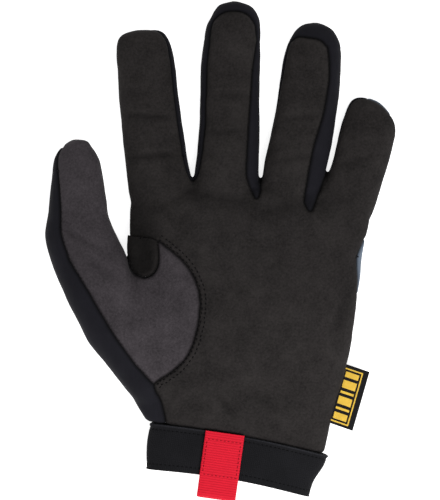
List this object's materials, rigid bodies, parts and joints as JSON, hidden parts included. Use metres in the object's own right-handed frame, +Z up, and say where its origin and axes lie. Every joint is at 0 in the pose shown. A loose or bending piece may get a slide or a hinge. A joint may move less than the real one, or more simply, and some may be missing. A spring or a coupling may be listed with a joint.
{
  "type": "mechanic glove",
  "caption": "Left-hand work glove lying palm up, with suede palm and thumb panels, stretch sides and back, cuff, pull loop and side label.",
  "frame": {"origin": "middle of the ground that the glove covers as it lies on its back", "axes": "+Y towards the fingertips, -X towards the thumb, +Z up out of the palm"},
  "size_m": [0.1716, 0.2442, 0.0268],
  "materials": {
    "palm_suede": "matte brown-black suede",
    "thumb_suede": "matte warm grey suede",
    "black_stretch": "matte black stretch cloth",
    "blue_stretch": "matte grey-blue stretch cloth",
    "cuff_knit": "matte black band",
    "red_webbing": "satin red ribbed webbing",
    "label_ribbon": "woven black and yellow ribbon"
  },
  "bodies": {
    "root": {"thumb_gusset": "palm_suede", "thumb_panel": "thumb_suede", "palm_panel": "palm_suede", "thumb_back": "black_stretch", "fourchette_index_middle": "black_stretch", "fourchette_middle_ring": "black_stretch", "fourchette_ring_little": "black_stretch", "index_back": "black_stretch", "middle_back": "black_stretch", "ring_back": "black_stretch", "hand_back": "blue_stretch", "cuff": "cuff_knit", "pull_loop": "red_webbing", "side_label": "label_ribbon"}
  },
  "joints": []
}
